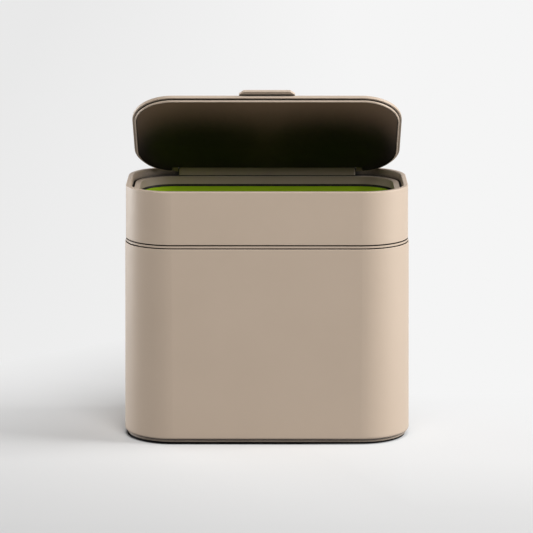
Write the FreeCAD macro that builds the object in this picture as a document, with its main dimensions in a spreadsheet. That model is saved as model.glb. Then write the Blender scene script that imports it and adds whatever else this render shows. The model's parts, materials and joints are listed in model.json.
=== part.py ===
import FreeCAD, Part
import math
import os
import re
import Sketcher

os.makedirs("parts", exist_ok=True)
doc = FreeCAD.newDocument("compost_caddy")

# Driving sizes in millimetres, except the lid's angle in degrees and the draft, a share of the height.
# X runs to the right, Y to the back and Z up, from the table under the middle of the caddy.
SIZES = {
    # outline at the rim, seen from above
    "rim_width": 246.4,
    "rim_depth": 130.0,
    "corner_radius": 41.0,
    "rim_height": 223.9,
    "draft_share": 0.0096,
    # foot ring and base plate
    "foot_stand": 2.0,
    "foot_setback": 1.0,
    "foot_width": 8.0,
    "strip_height": 1.6,
    "strip_inset": 2.6,
    "base_groove": 0.9,
    "plate_thickness": 3.0,
    "plug_height": 10.0,
    "plug_wall": 2.5,
    "fit_clearance": 0.1,
    # lower body
    "body_step": 0.6,
    "body_wall": 3.0,
    "bottom_round": 3.5,
    "bottom_round_rise": 2.4,
    "edge_round": 0.6,
    "boss_diameter": 9.0,
    "boss_height": 14.0,
    "boss_bite": 1.2,
    # screws in the base
    "screw_diameter": 3.0,
    "screw_head_diameter": 6.4,
    "screw_head_height": 2.2,
    "screw_length": 17.0,
    "screw_sink": 0.3,
    "screw_clearance": 0.2,
    # seam between body and collar
    "collar_height": 46.55,
    "seam_height": 3.6,
    "seam_strip_height": 1.7,
    "seam_recess": 2.2,
    "strip_setback": 0.2,
    "strip_bite": 0.6,
    "lip_rise": 6.0,
    "lip_drop": 6.5,
    "lip_wall": 2.0,
    "lift_clearance": 0.4,
    # collar and the ring inside it
    "rim_wall": 4.3,
    "rim_round": 0.9,
    "gutter_width": 1.6,
    "ring_wall": 5.3,
    "ring_drop": 6.8,
    "ring_height": 7.1,
    "ring_floor": 2.0,
    "ring_round": 0.5,
    "ledge_width": 4.5,
    "ledge_height": 2.5,
    # bucket
    "bucket_wall": 1.8,
    "bucket_floor": 2.0,
    "bucket_taper": 5.5,
    "bucket_setback": 1.1,
    "bucket_round": 6.0,
    "bead_reach": 1.2,
    "bead_height": 4.0,
    "bucket_gap": 1.9,
    # hinge
    "hinge_inset": 2.7,
    "hinge_rise": 6.0,
    "bar_end_gap": 2.9,
    "bar_height": 8.05,
    "bar_setback": 0.3,
    "bar_chamfer": 1.0,
    "rebate_height": 0.9,
    "rebate_depth": 1.2,
    "bush_diameter": 3.6,
    "bush_length": 10.0,
    "pin_diameter": 2.2,
    "pin_play": 0.05,
    "knuckle_diameter": 4.7,
    "knuckle_length": 4.0,
    "knuckle_gap": 0.8,
    "small_screw_diameter": 2.2,
    "small_head_diameter": 4.0,
    "small_head_height": 1.5,
    "small_screw_length": 10.0,
    "small_screw_inset": 25.5,
    # lid
    "lid_angle": 42.0,
    "lid_gap": 0.9,
    "lid_setback": 0.3,
    "lid_seat_gap": 1.5,
    "cover_thickness": 2.8,
    "cover_round": 0.8,
    "recess_depth": 1.5,
    "frame_height": 1.5,
    "panel_recess": 0.3,
    "frame_inset": 2.0,
    "frame_width": 1.2,
    "frame_gap": 0.6,
    "frame_round": 0.6,
    "flange_height": 0.5,
    "gasket_height": 1.0,
    "gasket_inset": 3.0,
    "gasket_width": 4.0,
    "gasket_margin": 1.5,
    "notch_gap": 1.8,
    "panel_notch_gap": 5.0,
    "panel_notch_side": 5.5,
    "tab_width": 48.5,
    "tab_slant": 4.0,
    "tab_reach": 4.7,
    "tab_hold": 10.0,
    "tab_thickness": 2.7,
    "tab_step": 0.5,
    "tab_round": 0.6,
    # how far every cut runs past the solid
    "cut_overrun": 1.0,
}
UNIT_X = FreeCAD.Vector(1, 0, 0)
UNIT_Z = FreeCAD.Vector(0, 0, 1)
SIDES = {"left": -1, "right": 1}
ENDS = {"front": -1, "rear": 1}

sheet = doc.addObject("Spreadsheet::Sheet", "Dims")
for row, (alias, size) in enumerate(SIZES.items(), start=1):
    sheet.set(f"A{row}", alias)
    sheet.set(f"B{row}", str(size))
    sheet.setAlias(f"B{row}", alias)
doc.recompute()

# Levels and places that several pieces share, written in the sheet's names.
PLATE_TOP = "(foot_stand + plate_thickness)"
PLUG_TOP = "(foot_stand + plug_height)"
BODY_BOTTOM = "(foot_stand + strip_height + base_groove)"
COLLAR_BOTTOM = "(rim_height - collar_height)"
BODY_TOP = f"({COLLAR_BOTTOM} - seam_height)"
RING_TOP = "(rim_height - ring_drop)"
RING_BOTTOM = f"({RING_TOP} - ring_height)"
GUTTER_TOP = f"({RING_BOTTOM} + ring_floor)"
BUCKET_TOP = f"({RING_BOTTOM} - bucket_gap)"
HINGE_Y = "(rim_depth / 2 - rim_wall - hinge_inset)"
HINGE_Z = f"({RING_TOP} + hinge_rise)"
BAR_LENGTH = "(rim_width - 2 * corner_radius - 2 * bar_end_gap)"

# How far an outline lies outside the rim's outline, all round.
BODY_INSIDE = f"(body_step + draft_share * (rim_height - {BODY_TOP}) - body_wall)"
LIP_INSIDE = "(0 - rim_wall - lift_clearance - lip_wall)"
RING_INSIDE = "(0 - rim_wall - gutter_width - ring_wall)"
BUCKET_INSIDE = f"({RING_INSIDE} - bucket_setback)"

# Lid levels, measured from the hinge axis with the lid shut.
FRAME_BOTTOM = "(lid_seat_gap - hinge_rise)"
FRAME_TOP = f"({FRAME_BOTTOM} + frame_height)"
FLANGE_BOTTOM = f"({FRAME_TOP} - flange_height)"
COVER_BOTTOM = f"({FRAME_TOP} + gasket_height)"
COVER_TOP = f"({COVER_BOTTOM} + cover_thickness)"
BAR_FRONT = "(bar_setback - gutter_width - ring_wall + hinge_inset)"
LID_FRONT = "(rim_depth - 2 * rim_wall - hinge_inset - lid_gap)"

# A face counts as level when it is this much flatter than it is wide.
FLAT_SHARE = 1e-5
LEVEL_DIGITS = 4

ALIASES = re.compile(r"\b(" + "|".join(SIZES) + r")\b")


def bind(feature, prop, formula):
    """Tie one property to a formula written in the sheet's names."""
    feature.setExpression(prop, ALIASES.sub(r"Dims.\1", formula))


def drafted(height):
    """Outline of the drafted outside at a height, as a distance outside the rim's outline."""
    return f"(draft_share * (rim_height - {height}))"


def new_body(label):
    body = doc.addObject("PartDesign::Body", label)
    body.Label = label
    return body


def new_sketch(body, role, x="0", y="0", z="0"):
    """Sketch on one of the body's own planes, moved by x and y in it and by z out of it."""
    sketch = body.newObject("Sketcher::SketchObject", "Sketch")
    plane = next(item for item in body.Origin.OriginFeatures if item.Role == role)
    sketch.AttachmentSupport = [(plane, "")]
    sketch.MapMode = "FlatFace"
    for axis, formula in zip("xyz", (x, y, z)):
        bind(sketch, f"AttachmentOffset.Base.{axis}", formula)
    return sketch


def limit(sketch, *constraint, formula):
    """Add a constraint whose size is a formula."""
    index = sketch.addConstraint(Sketcher.Constraint(*constraint, SIZES["corner_radius"]))
    bind(sketch, f"Constraints[{index}]", formula)


def add_rounded(sketch, span_x, span_y, radius):
    """Rounded rectangle about the sketch's origin, given by its corner centres and corner radius."""
    half_x = SIZES["rim_width"] / 2 - SIZES["corner_radius"]
    half_y = SIZES["rim_depth"] / 2 - SIZES["corner_radius"]
    quarter = math.pi / 2
    arcs = []
    for turn, (side, end) in enumerate(((1, 1), (-1, 1), (-1, -1), (1, -1))):
        centre = FreeCAD.Vector(side * half_x, end * half_y)
        circle = Part.Circle(centre, UNIT_Z, SIZES["corner_radius"])
        arcs.append(Part.ArcOfCircle(circle, turn * quarter, (turn + 1) * quarter))
    arc = [sketch.addGeometry(curve) for curve in arcs]
    line = []
    for turn in range(4):
        following = arcs[(turn + 1) % 4]
        line.append(sketch.addGeometry(Part.LineSegment(arcs[turn].EndPoint, following.StartPoint)))
    for turn in range(4):
        sketch.addConstraint(Sketcher.Constraint("Tangent", arc[turn], 2, line[turn], 1))
        sketch.addConstraint(Sketcher.Constraint("Tangent", line[turn], 2, arc[(turn + 1) % 4], 1))
        sketch.addConstraint(Sketcher.Constraint("Vertical" if turn % 2 else "Horizontal", line[turn]))
    for other in arc[1:]:
        sketch.addConstraint(Sketcher.Constraint("Equal", arc[0], other))
    sketch.addConstraint(Sketcher.Constraint("Symmetric", arc[0], 3, arc[2], 3, -1, 1))
    limit(sketch, "DistanceX", arc[1], 3, arc[0], 3, formula=span_x)
    limit(sketch, "DistanceY", arc[3], 3, arc[0], 3, formula=span_y)
    limit(sketch, "Radius", arc[0], formula=radius)


def add_outline(sketch, spread):
    """The rim's outline, moved outwards all round by a distance."""
    add_rounded(sketch, "rim_width - 2 * corner_radius", "rim_depth - 2 * corner_radius",
                f"corner_radius + {spread}")


def outline(body, height, *spreads):
    """Level sketch of one outline, or of a ring between two."""
    sketch = new_sketch(body, "XY_Plane", z=height)
    for spread in spreads:
        add_outline(sketch, spread)
    return sketch


def add_circle(sketch, diameter):
    circle = sketch.addGeometry(Part.Circle(FreeCAD.Vector(0, 0), UNIT_Z, SIZES["corner_radius"]))
    sketch.addConstraint(Sketcher.Constraint("Coincident", circle, 3, -1, 1))
    limit(sketch, "Diameter", circle, formula=diameter)


def add_polygon(sketch, points):
    """Closed polygon through points given as pairs of formulas."""
    count = len(points)
    radius = SIZES["corner_radius"]
    places = []
    for turn in range(count):
        angle = 2 * math.pi * turn / count
        places.append(FreeCAD.Vector(radius * math.cos(angle), radius * math.sin(angle)))
    edges = []
    for turn in range(count):
        edges.append(sketch.addGeometry(Part.LineSegment(places[turn], places[(turn + 1) % count])))
    for turn, (x, y) in enumerate(points):
        sketch.addConstraint(Sketcher.Constraint("Coincident", edges[turn - 1], 2, edges[turn], 1))
        limit(sketch, "DistanceX", -1, 1, edges[turn], 1, formula=x)
        limit(sketch, "DistanceY", -1, 1, edges[turn], 1, formula=y)


def pad(body, sketch, length, both_ways=False, taper="0"):
    """Raise a sketch; its walls lean in or out by the taper, a share of the length."""
    feature = body.newObject("PartDesign::Pad", "Pad")
    feature.Profile = sketch
    feature.Midplane = both_ways
    bind(feature, "Length", length)
    bind(feature, "TaperAngle", f"atan({taper})")
    doc.recompute()
    return feature


def pocket(body, sketch, length=None, upwards=False, taper="0"):
    """Cut a sketch into the body, right through where no length is given."""
    before = body.Shape.Volume
    feature = body.newObject("PartDesign::Pocket", "Pocket")
    feature.Profile = sketch
    feature.Reversed = upwards
    if length is None:
        feature.Type = "ThroughAll"
    else:
        bind(feature, "Length", length)
        bind(feature, "TaperAngle", f"atan({taper})")
    doc.recompute()
    if body.Shape.Volume >= before:
        raise RuntimeError(f"a cut in {body.Label} removes nothing")
    return feature


def level_faces(shape):
    for face in shape.Faces:
        if face.BoundBox.ZLength < FLAT_SHARE * face.BoundBox.DiagonalLength:
            yield face


def flat_face(shape, top):
    """The largest level face at the very top or bottom of a shape."""
    upward = 1 if top else -1
    return max(level_faces(shape), key=lambda face: (round(upward * face.CenterOfMass.z, LEVEL_DIGITS),
                                                     face.BoundBox.DiagonalLength))


def floor_face(shape):
    """The lowest level face that looks up."""
    upward = [face for face in level_faces(shape) if face.normalAt(0, 0).z > 0]
    return min(upward, key=lambda face: face.CenterOfMass.z)


def dress(body, kind, edges, size):
    """Fillet or chamfer of chosen edges of the body's last feature."""
    base = body.Tip
    names = []
    for number, edge in enumerate(base.Shape.Edges, start=1):
        if any(edge.isSame(chosen) for chosen in edges):
            names.append(f"Edge{number}")
    feature = body.newObject(kind, "Dress")
    feature.Base = (base, names)
    bind(feature, "Radius" if kind == "PartDesign::Fillet" else "Size", size)
    doc.recompute()
    return feature


def round_face(body, top, size, inside=False):
    """Round the outer edges of the top or bottom face, and its inner edges where asked."""
    face = flat_face(body.Tip.Shape, top)
    wires = face.Wires if inside else [face.OuterWire]
    dress(body, "PartDesign::Fillet", [edge for wire in wires for edge in wire.Edges], size)


def corner_places(reach):
    """Where a line at 45 degrees from each corner's centre ends, with the name of that corner."""
    for end, back in ENDS.items():
        for side, right in SIDES.items():
            x = f"{right} * (rim_width / 2 - corner_radius + ({reach}) * sqrt(0.5))"
            y = f"{back} * (rim_depth / 2 - corner_radius + ({reach}) * sqrt(0.5))"
            yield f"{end}_{side}", x, y


def screw_group(label, places, shank, length, head, head_height):
    """Identical screws with a hexagon socket, heads down, as one group."""
    screws = []
    for x, y, z in places:
        shaft = doc.addObject("Part::Cylinder", "Shaft")
        bind(shaft, "Radius", f"{shank} / 2")
        bind(shaft, "Height", length)
        cap = doc.addObject("Part::Cylinder", "Cap")
        bind(cap, "Radius", f"{head} / 2")
        bind(cap, "Height", head_height)
        socket = doc.addObject("Part::Prism", "Socket")
        socket.Polygon = 6
        bind(socket, "Circumradius", f"{head} / 4")
        bind(socket, "Height", f"{head_height} / 2")
        for piece, level in ((shaft, f"{z} + {head_height}"), (cap, z), (socket, z)):
            bind(piece, "Placement.Base.x", x)
            bind(piece, "Placement.Base.y", y)
            bind(piece, "Placement.Base.z", level)
        whole = doc.addObject("Part::Fuse", "Whole")
        whole.Base = shaft
        whole.Tool = cap
        screw = doc.addObject("Part::Cut", "Screw")
        screw.Base = whole
        screw.Tool = socket
        screws.append(screw)
    group = doc.addObject("Part::Compound", label)
    group.Label = label
    group.Links = screws
    doc.recompute()
    return group


SCREW_REACH = f"corner_radius + {BODY_INSIDE} - boss_diameter / 2 + boss_bite"
PLATE_STRIP = f"(body_step + {drafted(BODY_BOTTOM)} - strip_inset)"


def make_outer_body():
    """Tall sleeve, drafted outside and straight inside, with a softly rounded bottom edge."""
    body = new_body("outer_body")
    round_level = f"({BODY_BOTTOM} + bottom_round_rise - bottom_round)"
    widest = f"(body_step + {drafted(round_level)})"
    pad(body, outline(body, round_level, widest), f"{BODY_TOP} - {round_level}", taper="0 - draft_share")
    round_face(body, False, "bottom_round")
    pocket(body, outline(body, BODY_BOTTOM, f"{widest} + cut_overrun"))
    pocket(body, outline(body, BODY_TOP, BODY_INSIDE))
    for _, x, y in corner_places(SCREW_REACH):
        boss = new_sketch(body, "XY_Plane", x, y, PLUG_TOP)
        add_circle(boss, "boss_diameter")
        pad(body, boss, "boss_height")
    for _, x, y in corner_places(SCREW_REACH):
        bore = new_sketch(body, "XY_Plane", x, y, PLUG_TOP)
        add_circle(bore, "screw_diameter")
        pocket(body, bore, "boss_height - boss_bite", upwards=True)
    round_face(body, True, "edge_round")
    return body


def make_base_plate():
    """Tray that plugs into the sleeve; its lowest edge shows as a thin strip."""
    body = new_body("base_plate")
    plug = f"{BODY_INSIDE} - fit_clearance"
    pad(body, outline(body, "foot_stand", PLATE_STRIP), "strip_height")
    pad(body, outline(body, "foot_stand + strip_height", plug), "plug_height - strip_height")
    pocket(body, outline(body, PLUG_TOP, f"{plug} - plug_wall"), "plug_height - plate_thickness")
    for _, x, y in corner_places(SCREW_REACH):
        post = new_sketch(body, "XY_Plane", x, y, PLATE_TOP)
        add_circle(post, "boss_diameter - 2 * boss_bite - 2 * fit_clearance")
        pad(body, post, "plug_height - plate_thickness")
    for _, x, y in corner_places(SCREW_REACH):
        bore = new_sketch(body, "XY_Plane", x, y, PLUG_TOP)
        add_circle(bore, "screw_diameter + 2 * screw_clearance")
        pocket(body, bore)
        sink = new_sketch(body, "XY_Plane", x, y, "foot_stand")
        add_circle(sink, "screw_head_diameter + 2 * screw_clearance")
        pocket(body, sink, "screw_head_height + screw_sink", upwards=True)
    return body


def make_foot_ring():
    """Black rubber ring under the base plate, just inside its edge; it covers the screws."""
    body = new_body("foot_ring")
    outside = f"{PLATE_STRIP} - foot_setback"
    pad(body, outline(body, "0", outside, f"{outside} - foot_width"), "foot_stand")
    return body


def make_base_screws():
    places = [(x, y, "foot_stand + screw_sink") for _, x, y in corner_places(SCREW_REACH)]
    return screw_group("base_screws", places, "screw_diameter", "screw_length",
                       "screw_head_diameter", "screw_head_height")


SEAM_CORE = f"(body_step + {drafted(BODY_TOP)} - seam_recess)"
STRIP_BOTTOM = f"({BODY_TOP} + (seam_height - seam_strip_height) / 2)"


def make_seam_ring():
    """Black ring that carries the collar, with lips into body and collar and a groove for the strip."""
    body = new_body("seam_ring")
    pad(body, outline(body, f"{BODY_TOP} - lip_drop", BODY_INSIDE), "lip_drop")
    pad(body, outline(body, BODY_TOP, SEAM_CORE), f"{STRIP_BOTTOM} - {BODY_TOP}")
    pad(body, outline(body, STRIP_BOTTOM, f"{SEAM_CORE} - strip_bite"), "seam_strip_height")
    upper = f"({STRIP_BOTTOM} + seam_strip_height)"
    pad(body, outline(body, upper, SEAM_CORE), f"{COLLAR_BOTTOM} - {upper}")
    pad(body, outline(body, COLLAR_BOTTOM, f"{LIP_INSIDE} + lip_wall"), "lip_rise")
    pocket(body, outline(body, f"{COLLAR_BOTTOM} + lip_rise", LIP_INSIDE))
    return body


def make_seam_strip():
    """Thin strip round the black ring, between two shadow lines."""
    body = new_body("seam_strip")
    outside = f"{drafted(STRIP_BOTTOM)} - strip_setback"
    inside = f"{SEAM_CORE} - strip_bite + fit_clearance"
    pad(body, outline(body, STRIP_BOTTOM, outside, inside), "seam_strip_height")
    return body


def make_bucket():
    """Tapered liner with a bead round its mouth."""
    body = new_body("bucket")
    outside = f"{BUCKET_INSIDE} + bucket_wall"
    height = f"({BUCKET_TOP} - {PLATE_TOP})"
    lean = f"bucket_taper / {height}"
    pad(body, outline(body, PLATE_TOP, f"{outside} - bucket_taper"), height, taper=lean)
    round_face(body, False, "bucket_round")
    pad(body, outline(body, f"{BUCKET_TOP} - bead_height", f"{outside} + bead_reach"), "bead_height")
    pocket(body, outline(body, BUCKET_TOP, BUCKET_INSIDE), f"{height} - bucket_floor", taper=f"0 - {lean}")
    dress(body, "PartDesign::Fillet", floor_face(body.Tip.Shape).Edges, "bucket_round - bucket_wall")
    return body


def hinge_screw_places():
    """Three places along the rear of the ring, in the middle of its wall."""
    y = f"rim_depth / 2 + {RING_INSIDE} + ring_wall / 2"
    for step in (-1, 0, 1):
        yield f"{step} * ({BAR_LENGTH} / 2 - small_screw_inset)", y


def make_collar():
    """Upper band with the rim, and the ledge that carries the inner ring."""
    body = new_body("collar")
    pad(body, outline(body, COLLAR_BOTTOM, drafted(COLLAR_BOTTOM)), "collar_height", taper="0 - draft_share")
    pocket(body, outline(body, "rim_height", "0 - rim_wall"), "ring_drop + ring_height")
    pocket(body, outline(body, COLLAR_BOTTOM, "0 - rim_wall"),
           "collar_height - ring_drop - ring_height - ledge_height", upwards=True)
    pocket(body, outline(body, "rim_height", "0 - rim_wall - ledge_width"))
    round_face(body, True, "rim_round", inside=True)
    round_face(body, False, "edge_round")
    return body


def make_inner_ring():
    """Frame of the mouth: an upright wall with a drip gutter outside it."""
    body = new_body("inner_ring")
    wall = f"({RING_INSIDE} + ring_wall)"
    pad(body, outline(body, RING_BOTTOM, "0 - rim_wall - fit_clearance"), "ring_floor")
    pad(body, outline(body, GUTTER_TOP, wall), "ring_height - ring_floor")
    pocket(body, outline(body, RING_TOP, RING_INSIDE))
    round_face(body, True, "ring_round", inside=True)
    for x, y in hinge_screw_places():
        bore = new_sketch(body, "XY_Plane", x, y, RING_TOP)
        add_circle(bore, "small_screw_diameter + 2 * fit_clearance")
        pocket(body, bore)
        sink = new_sketch(body, "XY_Plane", x, y, RING_BOTTOM)
        add_circle(sink, "small_head_diameter + 2 * fit_clearance")
        pocket(body, sink, "small_head_height + screw_sink", upwards=True)
    return body


def make_hinge_bar():
    """Fixed block between the lid's knuckles; a rebate under its front leaves a shadow line on the ring."""
    body = new_body("hinge_bar")
    section = new_sketch(body, "YZ_Plane")
    front = f"{HINGE_Y} + {BAR_FRONT}"
    back = "rim_depth / 2 - rim_wall"
    top = f"{RING_TOP} + bar_height"
    shoulder = f"{RING_TOP} + rebate_height"
    add_polygon(section, [(f"{front} + rebate_depth", RING_TOP), (back, RING_TOP), (back, top), (front, top),
                          (front, shoulder), (f"{front} + rebate_depth", shoulder)])
    pad(body, section, BAR_LENGTH, both_ways=True)
    ends = []
    for edge in body.Tip.Shape.Edges:
        box = edge.BoundBox
        if box.ZLength > SIZES["bar_height"] / 2 and box.YMax < body.Tip.Shape.BoundBox.Center.y:
            ends.append(edge)
    dress(body, "PartDesign::Chamfer", ends, "bar_chamfer")
    for right in SIDES.values():
        bore = new_sketch(body, "YZ_Plane", HINGE_Y, HINGE_Z, f"{right} * {BAR_LENGTH} / 2")
        add_circle(bore, "bush_diameter")
        pocket(body, bore, "bush_length", upwards=right < 0)
    for x, y in hinge_screw_places():
        bore = new_sketch(body, "XY_Plane", x, y, RING_TOP)
        add_circle(bore, "small_screw_diameter")
        pocket(body, bore, "small_screw_length + small_head_height + screw_sink - ring_height", upwards=True)
    return body


def make_hinge_bushes():
    """Friction bushes that hold the lid where it is put."""
    bushes = []
    for side, right in SIDES.items():
        body = new_body(f"hinge_bush_{side}")
        inner = f"{right} * ({BAR_LENGTH} - bush_length) / 2"
        ring = new_sketch(body, "YZ_Plane", HINGE_Y, HINGE_Z, inner)
        add_circle(ring, "bush_diameter")
        add_circle(ring, "pin_diameter + 2 * pin_play")
        pad(body, ring, "bush_length", both_ways=True)
        bushes.append(body)
    return bushes


def make_hinge_screws():
    level = f"{RING_BOTTOM} + screw_sink"
    places = [(x, y, level) for x, y in hinge_screw_places()]
    return screw_group("hinge_screws", places, "small_screw_diameter", "small_screw_length",
                       "small_head_diameter", "small_head_height")


def open_lid(body):
    """Put a piece of the lid, drawn shut about the hinge axis, at its resting angle."""
    body.Placement.Rotation = FreeCAD.Rotation(UNIT_X, 1)
    bind(body, "Placement.Base.y", HINGE_Y)
    bind(body, "Placement.Base.z", HINGE_Z)
    bind(body, "Placement.Rotation.Angle", "0 - lid_angle")


def lid_sketch(body, height, inset, rear):
    """Level sketch of the lid's outline, set in at front and sides; the rear edge is ahead of the axis."""
    front = f"({LID_FRONT} - ({inset}))"
    radius = f"(corner_radius - rim_wall - lid_gap - ({inset}))"
    sketch = new_sketch(body, "XY_Plane", y=f"0 - ({front} + ({rear})) / 2", z=height)
    add_rounded(sketch, f"rim_width - 2 * (rim_wall + lid_gap + {inset}) - 2 * {radius}",
                f"{front} - ({rear}) - 2 * {radius}", radius)
    return sketch


def cut_notch(body, level, half_width, front):
    """Clear the rear of a lid piece for the fixed bar."""
    notch = new_sketch(body, "XY_Plane", z=level)
    back = "cut_overrun"
    left = f"0 - ({half_width})"
    add_polygon(notch, [(left, front), (half_width, front), (half_width, back), (left, back)])
    pocket(body, notch)


NOTCH_HALF = f"({BAR_LENGTH} / 2 + knuckle_gap)"
PANEL_NOTCH_HALF = f"({NOTCH_HALF} + panel_notch_side)"
PANEL_NOTCH_FRONT = f"({BAR_FRONT} - panel_notch_gap)"
GASKET_REAR = f"(panel_notch_gap - {BAR_FRONT} + gasket_margin)"
RECESS_INSET = "(gasket_inset + gasket_width)"


def make_lid_cover():
    """Outer shell of the lid, recessed underneath, with a knuckle at each end of its notch."""
    body = new_body("lid_cover")
    pad(body, lid_sketch(body, COVER_BOTTOM, "0", "lid_setback"), "cover_thickness")
    round_face(body, True, "cover_round")
    cut_notch(body, COVER_TOP, NOTCH_HALF, f"{BAR_FRONT} - notch_gap")
    pocket(body, lid_sketch(body, COVER_BOTTOM, RECESS_INSET, f"{GASKET_REAR} + gasket_width"),
           "recess_depth", upwards=True)
    for right in SIDES.values():
        knuckle = new_sketch(body, "YZ_Plane", z=f"{right} * ({NOTCH_HALF} + knuckle_length / 2)")
        add_circle(knuckle, "knuckle_diameter")
        pad(body, knuckle, "knuckle_length", both_ways=True)
    for right in SIDES.values():
        bore = new_sketch(body, "YZ_Plane", z=f"{right} * {NOTCH_HALF}")
        add_circle(bore, "pin_diameter")
        pocket(body, bore, "knuckle_length", upwards=right > 0)
    open_lid(body)
    return body


def make_lid_frame():
    """Lower rim of the lid, with a flange that is held between gasket and panel."""
    body = new_body("lid_frame")
    rear = "frame_inset + lid_setback"
    pad(body, lid_sketch(body, FRAME_BOTTOM, "frame_inset", rear), "frame_height")
    cut_notch(body, FRAME_TOP, PANEL_NOTCH_HALF, PANEL_NOTCH_FRONT)
    round_face(body, False, "frame_round")
    pocket(body, lid_sketch(body, FRAME_BOTTOM, "frame_inset + frame_width", f"{rear} + frame_width"),
           "frame_height - flange_height", upwards=True)
    pocket(body, lid_sketch(body, FRAME_TOP, RECESS_INSET, f"{GASKET_REAR} + gasket_width"))
    open_lid(body)
    return body


def make_lid_panel():
    """Dark inner panel inside the frame, with a spigot up into the shell's recess."""
    body = new_body("lid_panel")
    inset = "frame_inset + frame_width + frame_gap"
    underside = lid_sketch(body, f"{FRAME_BOTTOM} + panel_recess", inset, f"{inset} + lid_setback")
    pad(body, underside, "frame_height - flange_height - panel_recess")
    cut_notch(body, FLANGE_BOTTOM, PANEL_NOTCH_HALF, PANEL_NOTCH_FRONT)
    spigot = lid_sketch(body, FLANGE_BOTTOM, f"{RECESS_INSET} + fit_clearance",
                        f"{GASKET_REAR} + gasket_width + fit_clearance")
    pad(body, spigot, "flange_height + gasket_height + recess_depth")
    open_lid(body)
    return body


def make_lid_gasket():
    """Soft ring between shell and frame, seen as the dark line round the lid."""
    body = new_body("lid_gasket")
    pad(body, lid_sketch(body, FRAME_TOP, "gasket_inset", GASKET_REAR), "gasket_height")
    pocket(body, lid_sketch(body, COVER_BOTTOM, RECESS_INSET, f"{GASKET_REAR} + gasket_width"))
    open_lid(body)
    return body


def make_lid_tab():
    """Finger tab on top of the shell, with slanted ends past its front edge, stepped to pass over the rim."""
    body = new_body("lid_tab")
    half = "(tab_width / 2)"
    tip = "(tab_width / 2 - tab_slant)"
    edge = f"0 - {LID_FRONT}"
    plan = new_sketch(body, "XY_Plane", z=COVER_TOP)
    add_polygon(plan, [(f"0 - {half}", f"{edge} + tab_hold"), (f"0 - {half}", edge),
                       (f"0 - {tip}", f"{edge} - tab_reach"), (tip, f"{edge} - tab_reach"),
                       (half, edge), (half, f"{edge} + tab_hold")])
    pad(body, plan, "tab_thickness")
    round_face(body, True, "tab_round")
    step = new_sketch(body, "XY_Plane", z=COVER_TOP)
    back = f"{edge} + cover_round"
    front = f"{edge} - tab_reach - cut_overrun"
    add_polygon(step, [(f"0 - {half} - cut_overrun", back), (f"0 - {half} - cut_overrun", front),
                       (f"{half} + cut_overrun", front), (f"{half} + cut_overrun", back)])
    pocket(body, step, "tab_step", upwards=True)
    open_lid(body)
    return body


def make_hinge_pins():
    """Steel pins, held in the knuckles and turning in the bushes."""
    pins = []
    for side, right in SIDES.items():
        body = new_body(f"hinge_pin_{side}")
        inner = f"({BAR_LENGTH} / 2 - bush_length + knuckle_gap)"
        outer = f"({NOTCH_HALF} + knuckle_length)"
        rod = new_sketch(body, "YZ_Plane", z=f"{right} * ({inner} + {outer}) / 2")
        add_circle(rod, "pin_diameter")
        pad(body, rod, f"{outer} - {inner}", both_ways=True)
        open_lid(body)
        pins.append(body)
    return pins


pieces = [make_outer_body(), make_base_plate(), make_foot_ring(), make_base_screws()]
pieces += [make_seam_ring(), make_seam_strip()]
pieces += [make_bucket()]
pieces += [make_collar(), make_inner_ring(), make_hinge_bar(), *make_hinge_bushes()]
pieces += [make_hinge_screws()]
pieces += [make_lid_cover(), make_lid_frame(), make_lid_panel(), make_lid_gasket(), make_lid_tab()]
pieces += make_hinge_pins()
doc.recompute()

failed = [item.Label for item in doc.Objects if "Invalid" in item.State or "Error" in item.State]
failed += [piece.Label for piece in pieces if piece.Shape.isNull() or not piece.Shape.isValid()]
if failed:
    raise RuntimeError("failed: " + ", ".join(failed))
for piece in pieces:
    piece.Shape.exportStep(f"parts/{piece.Label}.step")
    print(piece.Label, round(piece.Shape.Volume))
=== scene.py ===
import json
import math

import bpy
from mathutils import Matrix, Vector

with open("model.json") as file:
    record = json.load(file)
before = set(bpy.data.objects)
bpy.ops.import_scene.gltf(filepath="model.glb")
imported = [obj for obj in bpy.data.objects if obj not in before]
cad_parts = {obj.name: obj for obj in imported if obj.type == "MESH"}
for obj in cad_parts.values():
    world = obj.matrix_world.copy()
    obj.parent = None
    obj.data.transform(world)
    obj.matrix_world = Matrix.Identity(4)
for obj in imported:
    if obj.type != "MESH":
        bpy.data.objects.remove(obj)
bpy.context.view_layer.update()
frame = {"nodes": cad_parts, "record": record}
scene = bpy.context.scene
scene.view_settings.view_transform = "Standard"
MM = 0.001
BLACK = (0, 0, 0, 1)


def linear(hex_colour):
    """Linear colour of an sRGB hex value."""
    made = []
    for start in (1, 3, 5):
        share = int(hex_colour[start:start + 2], 16) / 255
        made.append(share / 12.92 if share <= 0.04045 else ((share + 0.055) / 1.055) ** 2.4)
    return (*made, 1.0)


def add(tree, kind, sockets=None, **settings):
    """One node with its settings; a socket given another node's output is linked to it."""
    made = tree.nodes.new(kind)
    for name, value in settings.items():
        setattr(made, name, value)
    for name, value in (sockets or {}).items():
        if isinstance(value, bpy.types.NodeSocket):
            tree.links.new(value, made.inputs[name])
        else:
            made.inputs[name].default_value = value
    return made


def new_material(name):
    """A material with no nodes yet, and its tree."""
    material = bpy.data.materials.new(name)
    material.use_nodes = True
    material.node_tree.nodes.clear()
    return material, material.node_tree


# Finishes of the caddy

CLOUD_MM = 60  # patches of slightly different tone, as pigment flows in the tool
POLISH_MM = 14  # patches that hands have rubbed a little smoother
POLISH_SWING = 0.04  # how much rougher or smoother than the rest they are
NOISE_LOW, NOISE_HIGH = 0.3, 0.7  # most of a noise lies between these
HOLLOW_MM, HOLLOW_RAYS = 25, 8  # how far a point in a wide hollow looks for walls, and how often
HOLLOW_SHUT, HOLLOW_CLEAR = 0.25, 0.5  # open share where a wide hollow's painted shade is darkest, and where it ends
SHADE_LEFT = 0.03  # share of the colour left under painted shade at the bottom of a gap


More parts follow.
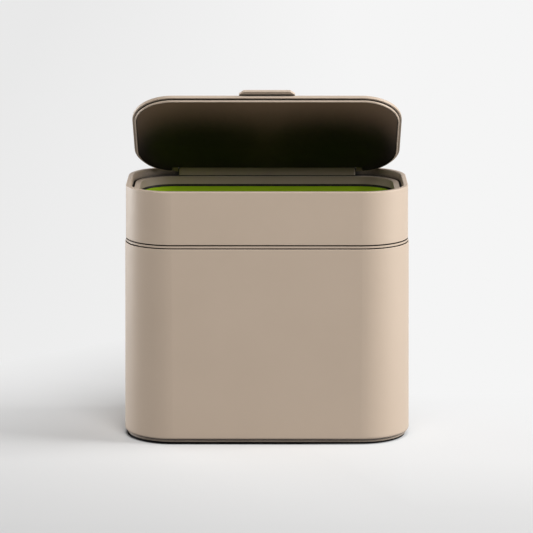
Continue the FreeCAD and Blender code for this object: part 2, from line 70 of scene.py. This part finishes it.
def paint_hollow_shade(tree, tone, reach_mm=4, rays=16, shut=0.45, clear=0.85):
    """Paints shade into a tone where walls stand within reach_mm, and in wide hollows."""
    gap = add(tree, "ShaderNodeAmbientOcclusion", {"Distance": reach_mm * MM}, samples=rays)
    gap = add(tree, "ShaderNodeMapRange", {"Value": gap.outputs["AO"], "From Min": shut, "From Max": clear,
                                           "To Min": SHADE_LEFT})
    hollow = add(tree, "ShaderNodeAmbientOcclusion", {"Distance": HOLLOW_MM * MM}, samples=HOLLOW_RAYS)
    hollow = add(tree, "ShaderNodeMapRange", {"Value": hollow.outputs["AO"], "From Min": HOLLOW_SHUT,
                                              "From Max": HOLLOW_CLEAR, "To Min": SHADE_LEFT})
    unshaded_share = add(tree, "ShaderNodeMath", {0: gap.outputs["Result"], 1: hollow.outputs["Result"]},
                operation="MINIMUM")
    # Painted shade: the tone turns dark in seams, gaps and wide hollows.
    shaded = add(tree, "ShaderNodeMix", {0: unshaded_share.outputs[0], 6: BLACK, 7: tone}, data_type="RGBA")
    return shaded.outputs[2]


BAND_BOTTOM, INSIDE_SHADE_FROM = 0.2, 0.18  # heights on the bucket, in metres
LOOKS_OUT = 0.005  # metres from the middle, along its own normal, past which a face counts as an outer one


def paint_inside_shade(tree, place, tone, colour):
    """Paints shade on the faces that look to the bucket's middle, below the band under its rim."""
    point = add(tree, "ShaderNodeVectorMath", {0: place, 1: (1, 1, 0)}, operation="MULTIPLY")
    facing = add(tree, "ShaderNodeTexCoord").outputs["Normal"]
    outwards = add(tree, "ShaderNodeVectorMath", {0: point.outputs[0], 1: facing}, operation="DOT_PRODUCT")
    inside = add(tree, "ShaderNodeMath", {0: outwards.outputs["Value"], 1: LOOKS_OUT}, operation="LESS_THAN")
    level = add(tree, "ShaderNodeSeparateXYZ", {0: place})
    depth = add(tree, "ShaderNodeMapRange", {"Value": level.outputs["Z"], "From Min": BAND_BOTTOM,
                                             "From Max": INSIDE_SHADE_FROM})
    share = add(tree, "ShaderNodeMath", {0: inside.outputs[0], 1: depth.outputs["Result"]},
                operation="MULTIPLY")
    inside_shaded = add(tree, "ShaderNodeMix", {0: share.outputs[0], 6: tone, 7: linear(colour)}, data_type="RGBA")
    return inside_shaded.outputs[2]


def finish(tree, tone, place, roughness, height, height_mm, **sockets):
    """The shader: a tone, patches of polish and a relief height_mm deep."""
    polish = add(tree, "ShaderNodeTexNoise", {"Vector": place, "Scale": 1 / (POLISH_MM * MM), "Detail": 4.0})
    sheen = add(tree, "ShaderNodeMapRange", {"Value": polish.outputs["Fac"], "From Min": NOISE_LOW,
                                             "From Max": NOISE_HIGH, "To Min": roughness - POLISH_SWING,
                                             "To Max": roughness + POLISH_SWING})
    bump = add(tree, "ShaderNodeBump", {"Strength": 0.5, "Distance": height_mm * MM, "Height": height})
    shader = add(tree, "ShaderNodeBsdfPrincipled", {"Base Color": tone, "Roughness": sheen.outputs["Result"],
                                                    "Normal": bump.outputs["Normal"], **sockets})
    add(tree, "ShaderNodeOutputMaterial", {"Surface": shader.outputs["BSDF"]})


def moulded(name, pale, deep, roughness, grain_mm, grain_depth_mm, inside=None, hollows=None, **sockets):
    """Moulded plastic or rubber: slow shifts of tone, painted shade in hollows, and the tool's grain in the
    surface.
    """
    material, tree = new_material(name)
    place = add(tree, "ShaderNodeTexCoord").outputs["Object"]
    cloud = add(tree, "ShaderNodeTexNoise", {"Vector": place, "Scale": 1 / (CLOUD_MM * MM), "Detail": 3.0})
    tone = add(tree, "ShaderNodeMix", {0: cloud.outputs["Fac"], 6: linear(deep), 7: linear(pale)},
               data_type="RGBA")
    tone = tone.outputs[2]
    if inside:
        tone = paint_inside_shade(tree, place, tone, inside)
    tone = paint_hollow_shade(tree, tone, **(hollows or {}))
    grain = add(tree, "ShaderNodeTexNoise", {"Vector": place, "Scale": 1 / (grain_mm * MM), "Detail": 2.0})
    finish(tree, tone, place, roughness, grain.outputs["Fac"], grain_depth_mm, **sockets)
    return material


WAVE_LENGTH = math.pi / 10  # metres between the lines of a wave texture at scale 1


def turned(name, bright, dull, roughness, line_mm, line_depth_mm, **sockets):
    """Metal turned on a lathe: lines round the bar, brighter on their crests, with painted shade in its gaps.
    """
    material, tree = new_material(name)
    place = add(tree, "ShaderNodeTexCoord").outputs["Object"]
    lines = add(tree, "ShaderNodeTexWave", {"Vector": place, "Scale": WAVE_LENGTH / (line_mm * MM),
                                            "Distortion": 0.6, "Detail": 1.0}, bands_direction="X")
    tone = add(tree, "ShaderNodeMix", {0: lines.outputs["Fac"], 6: linear(dull), 7: linear(bright)},
               data_type="RGBA")
    tone = paint_hollow_shade(tree, tone.outputs[2])
    finish(tree, tone, place, roughness, lines.outputs["Fac"], line_depth_mm, **sockets)
    return material


# Polypropylene with a spark-eroded matt grain: the light breaks up softly, so the faces look dry and even and
# only the corners shine a little. The real grain is about 0.15 mm and is drawn at 0.9 mm, a pixel of the
# photograph, because a finer one wouldn't show.
matt_taupe = moulded("moulded_matt_polypropylene_taupe", pale="#b8a694", deep="#b2a08e", roughness=0.5,
                     grain_mm=0.9, grain_depth_mm=0.03)
# The same plastic with a satin tool finish, drawn in a darker brown as painted shade, with more painted
# shade that deepens to near black towards the hinge. Its grain is drawn coarser too.
shade_darkened_taupe = moulded("moulded_satin_polypropylene_dark_taupe", pale="#735d4b", deep="#6e5846",
                     roughness=0.45, grain_mm=0.9, grain_depth_mm=0.015,
                     hollows={"reach_mm": 120, "rays": 32, "shut": 0.7, "clear": 0.92},
                     **{"Specular IOR Level": 0.3})
# Acrylonitrile butadiene styrene from a polished tool: a clear sharp gloss with the faint 6 mm ripple of a
# moulding. Inside and below the band under the rim, painted shade dulls it to a darker green.
gloss_lime = moulded("moulded_gloss_abs_lime", pale="#b0d22c", deep="#a8ca26", roughness=0.16,
                     grain_mm=6.0, grain_depth_mm=0.02, inside="#6f8420")
# Ethylene propylene rubber from a blasted tool: almost no shine, so it reads as a black line. The blasting is
# about 0.1 mm and is drawn at 0.8 mm.
matt_rubber = moulded("moulded_epdm_rubber_black", pale="#100f0e", deep="#0b0a09", roughness=0.8,
                      grain_mm=0.8, grain_depth_mm=0.04, **{"Specular IOR Level": 0.15})
# Stainless bar turned on a lathe: a bright grey with fine rings. The rings are about 0.05 mm apart and are
# drawn at 0.3 mm.
bright_steel = turned("turned_stainless_steel", bright="#c4c2be", dull="#b4b2ae", roughness=0.35,
                      line_mm=0.3, line_depth_mm=0.01, Metallic=1.0)
# Acetal from a fine tool: a waxy black with a low sheen. Its grain of about 0.1 mm is drawn at 1 mm.
waxy_acetal = moulded("moulded_acetal_black", pale="#262422", deep="#1f1d1b", roughness=0.4,
                      grain_mm=1.0, grain_depth_mm=0.01)

FINISHES = {
    "taupe_plastic": matt_taupe,
    "dark_plastic": shade_darkened_taupe,
    "lime_plastic": gloss_lime,
    "black_rubber": matt_rubber,
    "steel": bright_steel,
    "bush_plastic": waxy_acetal,
}
for part in frame["record"]["subparts"]:
    mesh = frame["nodes"][part["node"]].data
    mesh.materials.clear()
    mesh.materials.append(FINISHES[part["material_slot"]])


# Floor and backdrop

# Places on the floor, in metres from the middle of the caddy
GREY_FROM, GREY_TO = -0.12, -0.32  # painted shade: the paper turns greyer to the front between these
PAPER_ENDS, BACKDROP_ALL = 0.42, 0.75  # the paper turns into the backdrop between these, all round
# The two shifts below paint light over the caddy's shadow: on the right they hide it, on the far left they
# lighten it.
LIT_FROM, LIT_TO, LIT_SHIFT = 0.0, 0.12, 0.25  # to the right, towards the lamp, the backdrop comes sooner
DIM_FROM, DIM_TO, DIM_SHIFT = -0.13, -0.27, 0.13  # and to the far left a little sooner
BEHIND_FROM, BEHIND_TO = -0.01, 0.36  # the paper turns into the backdrop between these, to the back
CONTACT_MM, CONTACT_RAYS = 4, 8  # how near a point of the paper looks for the foot, and how often
CONTACT_SHUT, CONTACT_CLEAR = 0.5, 0.95  # open share where the painted shadow is black, and where it ends
SWEEP_LEFT, SWEEP_RIGHT = -0.45, 0.15  # the backdrop is paler to the right


def seen_share(tree):
    """One for what the eye sees, straight or in a reflection, and nought for light on its way."""
    path = add(tree, "ShaderNodeLightPath")
    seen = add(tree, "ShaderNodeMath", {0: path.outputs["Is Camera Ray"], 1: path.outputs["Is Glossy Ray"]},
               operation="MAXIMUM")
    seen = add(tree, "ShaderNodeMath", {0: seen.outputs[0], 1: path.outputs["Is Transmission Ray"]},
               operation="MAXIMUM")
    return seen.outputs[0]


def paper_tone(tree, spot, seen):
    """Pale paper, greyer to the front as painted shade, and dark in the last millimetres under the foot as
    painted shadow.
    """
    front_shade = add(tree, "ShaderNodeMapRange", {"Value": spot.outputs["Y"], "From Min": GREY_FROM,
                                            "From Max": GREY_TO})
    tone = add(tree, "ShaderNodeMix", {0: front_shade.outputs["Result"], 6: linear("#dedede"), 7: linear("#cfcfcf")},
               data_type="RGBA")
    tone = add(tree, "ShaderNodeMix", {0: seen, 6: linear("#d9d9d9"), 7: tone.outputs[2]}, data_type="RGBA")
    # Painted contact shadow: the paper goes black where the foot stands near.
    painted_contact_shadow = add(tree, "ShaderNodeAmbientOcclusion", {"Distance": CONTACT_MM * MM}, samples=CONTACT_RAYS)
    painted_contact_shadow = add(tree, "ShaderNodeMapRange", {"Value": painted_contact_shadow.outputs["AO"], "From Min": CONTACT_SHUT,
                                               "From Max": CONTACT_CLEAR})
    tone = add(tree, "ShaderNodeMix", {0: painted_contact_shadow.outputs["Result"], 6: BLACK, 7: tone.outputs[2]},
               data_type="RGBA")
    return tone.outputs[2]


def backdrop_share(tree, place, spot):
    """How far the paper has turned into the backdrop: with distance, and sooner behind the caddy."""
    away = add(tree, "ShaderNodeVectorMath", {0: place}, operation="LENGTH")
    away = add(tree, "ShaderNodeMapRange", {"Value": away.outputs["Value"], "From Min": PAPER_ENDS,
                                            "From Max": BACKDROP_ALL}, interpolation_type="SMOOTHSTEP")
    # Painted light: to the right and to the far left the backdrop comes sooner, over the caddy's shadow.
    lit_side = add(tree, "ShaderNodeMapRange", {"Value": spot.outputs["X"], "From Min": LIT_FROM,
                                                "From Max": LIT_TO, "To Max": LIT_SHIFT})
    dim_side = add(tree, "ShaderNodeMapRange", {"Value": spot.outputs["X"], "From Min": DIM_FROM,
                                                "From Max": DIM_TO, "To Max": DIM_SHIFT})
    depth = add(tree, "ShaderNodeMath", {0: spot.outputs["Y"], 1: lit_side.outputs["Result"]},
                operation="ADD")
    depth = add(tree, "ShaderNodeMath", {0: depth.outputs[0], 1: dim_side.outputs["Result"]}, operation="ADD")
    behind = add(tree, "ShaderNodeMapRange", {"Value": depth.outputs[0], "From Min": BEHIND_FROM,
                                              "From Max": BEHIND_TO})
    share = add(tree, "ShaderNodeMath", {0: behind.outputs["Result"], 1: away.outputs["Result"]},
                operation="MAXIMUM")
    return share.outputs[0]


# Paper sweep: dull and pale, so the caddy's shadow shows on it softly. It throws less light back up than it
# shows to the eye, and it fades into an even backdrop, so that no edge of it shows.
floor_material, tree = new_material("matt_paper_sweep")
place = add(tree, "ShaderNodeTexCoord").outputs["Object"]
spot = add(tree, "ShaderNodeSeparateXYZ", {0: place})
seen = seen_share(tree)
paper = add(tree, "ShaderNodeBsdfDiffuse", {"Color": paper_tone(tree, spot, seen)})
across = add(tree, "ShaderNodeMapRange", {"Value": spot.outputs["X"], "From Min": SWEEP_LEFT,
                                          "From Max": SWEEP_RIGHT})
sweep = add(tree, "ShaderNodeMix", {0: across.outputs["Result"], 6: linear("#e9e9e9"), 7: linear("#f5f5f5")},
            data_type="RGBA")
backdrop = add(tree, "ShaderNodeEmission", {"Color": sweep.outputs[2], "Strength": 1.0})
fade = add(tree, "ShaderNodeMath", {0: backdrop_share(tree, place, spot), 1: seen}, operation="MULTIPLY")
blended = add(tree, "ShaderNodeMixShader", {0: fade.outputs[0], 1: paper.outputs[0], 2: backdrop.outputs[0]})
add(tree, "ShaderNodeOutputMaterial", {"Surface": blended.outputs[0]})
bpy.ops.mesh.primitive_plane_add(size=9)
floor = bpy.context.object
floor.name = "floor"
floor.data.materials.append(floor_material)

# The room is pale to the eye and gives no light, so that the soft boxes alone model the form.
world = bpy.data.worlds.new("studio")
scene.world = world
world.use_nodes = True
tree = world.node_tree
tree.nodes.clear()
room = add(tree, "ShaderNodeMix", {0: seen_share(tree), 6: BLACK, 7: linear("#f3f3f3")}, data_type="RGBA")
sky = add(tree, "ShaderNodeBackground", {"Color": room.outputs[2], "Strength": 1.0})
add(tree, "ShaderNodeOutputWorld", {"Surface": sky.outputs[0]})


# Light and camera

AIM = Vector((0, 0, 0.15))  # near the middle of the caddy


def softbox(name, place, width, height, watts):
    """A rectangular lamp that faces AIM, in metres."""
    lamp = bpy.data.lights.new(name, "AREA")
    lamp.shape = "RECTANGLE"
    lamp.size, lamp.size_y = width, height
    lamp.energy = watts
    made = bpy.data.objects.new(name, lamp)
    scene.collection.objects.link(made)
    made.location = place
    made.rotation_euler = (AIM - Vector(place)).to_track_quat("-Z", "Y").to_euler()


# Models the front
softbox("front_high", place=(0.0, -1.38, 2.02), width=1.6, height=0.8, watts=41)
# Brightens the right corner and throws the shadow to the left
softbox("right_side", place=(2.0, -0.22, 0.95), width=0.9, height=1.3, watts=54)
# Draws the light line down the left edge
softbox("left_back", place=(-1.6, 0.9, 0.22), width=1.0, height=0.4, watts=22)

# A long lens from the front and a little above, as in the photograph
lens = bpy.data.cameras.new("camera")
lens.sensor_width = 36.0
lens.lens = 187.73
lens.clip_end = 50
camera = bpy.data.objects.new("camera", lens)
scene.collection.objects.link(camera)
camera.location = (0.0050, -2.415, 0.6462)
turn, dip = math.radians(-0.13), math.radians(11.72)
look = Vector((math.sin(turn) * math.cos(dip), math.cos(turn) * math.cos(dip), -math.sin(dip)))
camera.rotation_euler = look.to_track_quat("-Z", "Y").to_euler()
scene.camera = camera
